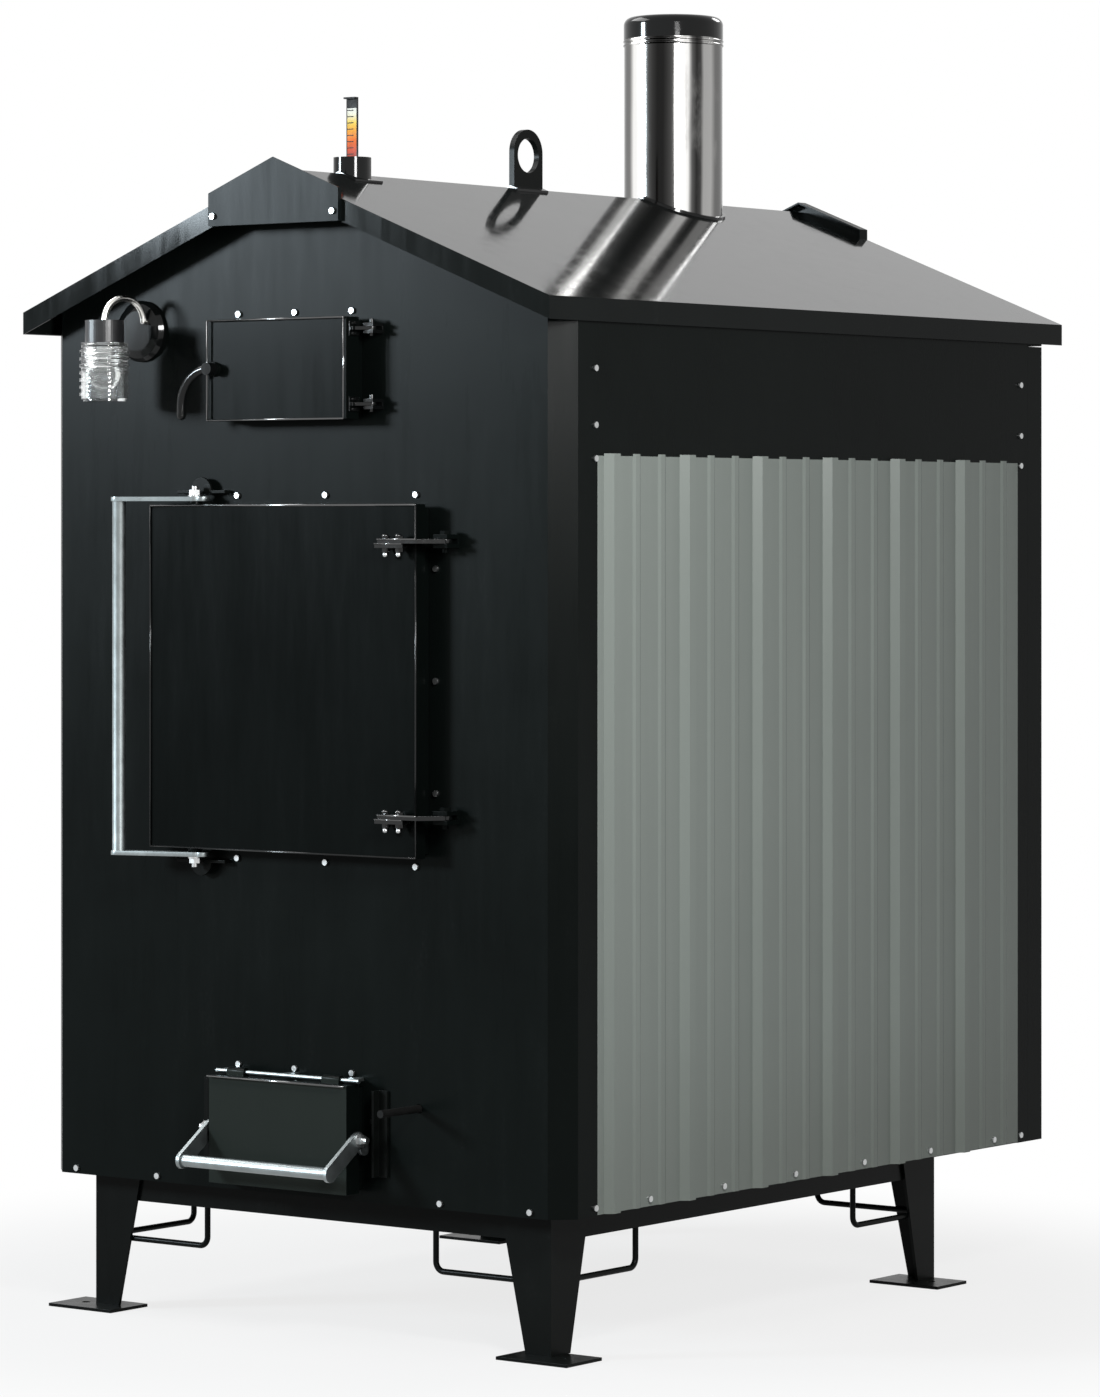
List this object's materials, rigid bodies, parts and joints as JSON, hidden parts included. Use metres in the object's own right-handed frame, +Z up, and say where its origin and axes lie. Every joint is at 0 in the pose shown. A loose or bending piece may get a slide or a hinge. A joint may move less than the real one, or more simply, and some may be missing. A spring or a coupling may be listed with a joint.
{
  "type": "outdoor wood boiler",
  "caption": "Outdoor wood boiler: gabled sheet-metal cabinet on legs with fire, cleaning and ash doors, a chimney and a water-level gauge.",
  "frame": {"origin": "centre of the four anchor holes in the foot plates, on the floor", "axes": "+Z up, -Y towards the front with the doors, +X to the viewer's right when facing the doors"},
  "size_m": [1.25, 1.7935, 2.484],
  "materials": {
    "black_sheet": "satin black sheet paint",
    "roof_sheet": "glossy black sheet paint",
    "frame_black": "black frame paint",
    "ribbed_sheet": "grey-green sheet paint, slight gloss",
    "door_black": "glossy black paint",
    "zinc_plate": "dull zinc plate",
    "bright_steel": "bright steel",
    "grate_iron": "bare cast iron",
    "stainless": "polished stainless steel",
    "gauge_face": "graduated colour scale",
    "lamp_metal": "bright metal",
    "clear_glass": "clear ribbed glass",
    "rope_seal": "braided rope seal",
    "boiler_steel": "plain boiler plate",
    "fan_black": "black paint",
    "pipe_brass": "brass pipe"
  },
  "bodies": {
    "boiler": {"base_side_rails": "frame_black", "base_cross_rails": "frame_black", "floor_pan": "black_sheet", "legs": "frame_black", "foot_plates": "frame_black", "leg_braces": "frame_black", "front_panel": "black_sheet", "front_post_left": "black_sheet", "front_post_right": "black_sheet", "rear_posts": "black_sheet", "upper_bands": "black_sheet", "side_sheet_left": "ribbed_sheet", "side_sheet_right": "ribbed_sheet", "bulkhead": "black_sheet", "rear_gable": "black_sheet", "roof": "roof_sheet", "ridge_caps": "black_sheet", "panel_screws": "bright_steel", "main_jamb": "door_black", "main_keepers": "door_black", "main_hinge_brackets": "door_black", "main_hinge_pins": "door_black", "upper_jamb": "door_black", "upper_hinges": "door_black", "ash_jamb": "door_black", "ash_hinge_rod": "door_black", "ash_brackets": "door_black", "lifting_eye": "door_black", "roof_flashings": "door_black", "vent_tube": "door_black", "chimney_casing": "stainless", "chimney_flue": "stainless", "chimney_ring": "door_black", "lamp_canopy": "door_black", "lamp_arm": "lamp_metal", "lamp_jar": "clear_glass", "water_jacket": "boiler_steel", "fire_box": "boiler_steel", "heat_exchanger": "boiler_steel", "smoke_flues": "boiler_steel", "ash_pan": "boiler_steel", "blower": "fan_black", "heating_pipes": "pipe_brass"},
    "main_door": {"main_door": "door_black", "main_gasket": "rope_seal", "main_hinge_straps": "door_black", "main_bail_bolts": "bright_steel"},
    "main_bail": {"main_bail": "zinc_plate"},
    "upper_door": {"upper_door": "door_black", "upper_gasket": "rope_seal", "upper_hinge_straps": "door_black"},
    "upper_lever": {"upper_lever": "door_black"},
    "ash_door": {"ash_door": "door_black", "ash_gasket": "rope_seal", "ash_bail_bolts": "bright_steel"},
    "ash_bail": {"ash_bail": "zinc_plate"},
    "grate_shaker": {"shaker_grate": "grate_iron"},
    "level_gauge": {"level_gauge": "gauge_face"},
    "rear_door": {"rear_door": "black_sheet"}
  },
  "joints": [
    {"name": "main_door_hinge", "type": "hinge", "parent": "boiler", "child": "main_door", "pos_m": [0.362, -0.672, 1.195], "axis": [0, 0, 1], "range_deg": [0, 110]},
    {"name": "main_bail_turn", "type": "hinge", "parent": "main_door", "child": "main_bail", "pos_m": [-0.214, -0.6833, 1.195], "axis": [0, 0, 1], "range_deg": [0, 70]},
    {"name": "upper_door_hinge", "type": "hinge", "parent": "boiler", "child": "upper_door", "pos_m": [0.194, -0.672, 1.7545], "axis": [0, 0, 1], "range_deg": [0, 110]},
    {"name": "upper_lever_turn", "type": "hinge", "parent": "upper_door", "child": "upper_lever", "pos_m": [-0.148, -0.7126, 1.7575], "axis": [0, 1, 0], "range_deg": [0, 60]},
    {"name": "ash_door_hinge", "type": "hinge", "parent": "boiler", "child": "ash_door", "pos_m": [0, -0.682, 0.476], "axis": [-1, 0, 0], "range_deg": [0, 100]},
    {"name": "ash_bail_turn", "type": "hinge", "parent": "ash_door", "child": "ash_bail", "pos_m": [0, -0.6863, 0.371], "axis": [-1, 0, 0], "range_deg": [0, 70]},
    {"name": "grate_shaker_slide", "type": "slide", "parent": "boiler", "child": "grate_shaker", "axis": [0, 1, 0], "range_m": [-0.02, 0.02]},
    {"name": "level_gauge_slide", "type": "slide", "parent": "boiler", "child": "level_gauge", "axis": [0, 0, 1], "range_m": [-0.08, 0]},
    {"name": "rear_door_hinge", "type": "hinge", "parent": "boiler", "child": "rear_door", "pos_m": [-0.619, 0.8703, 1.05], "axis": [0, 0, 1], "range_deg": [0, 110]}
  ]
}
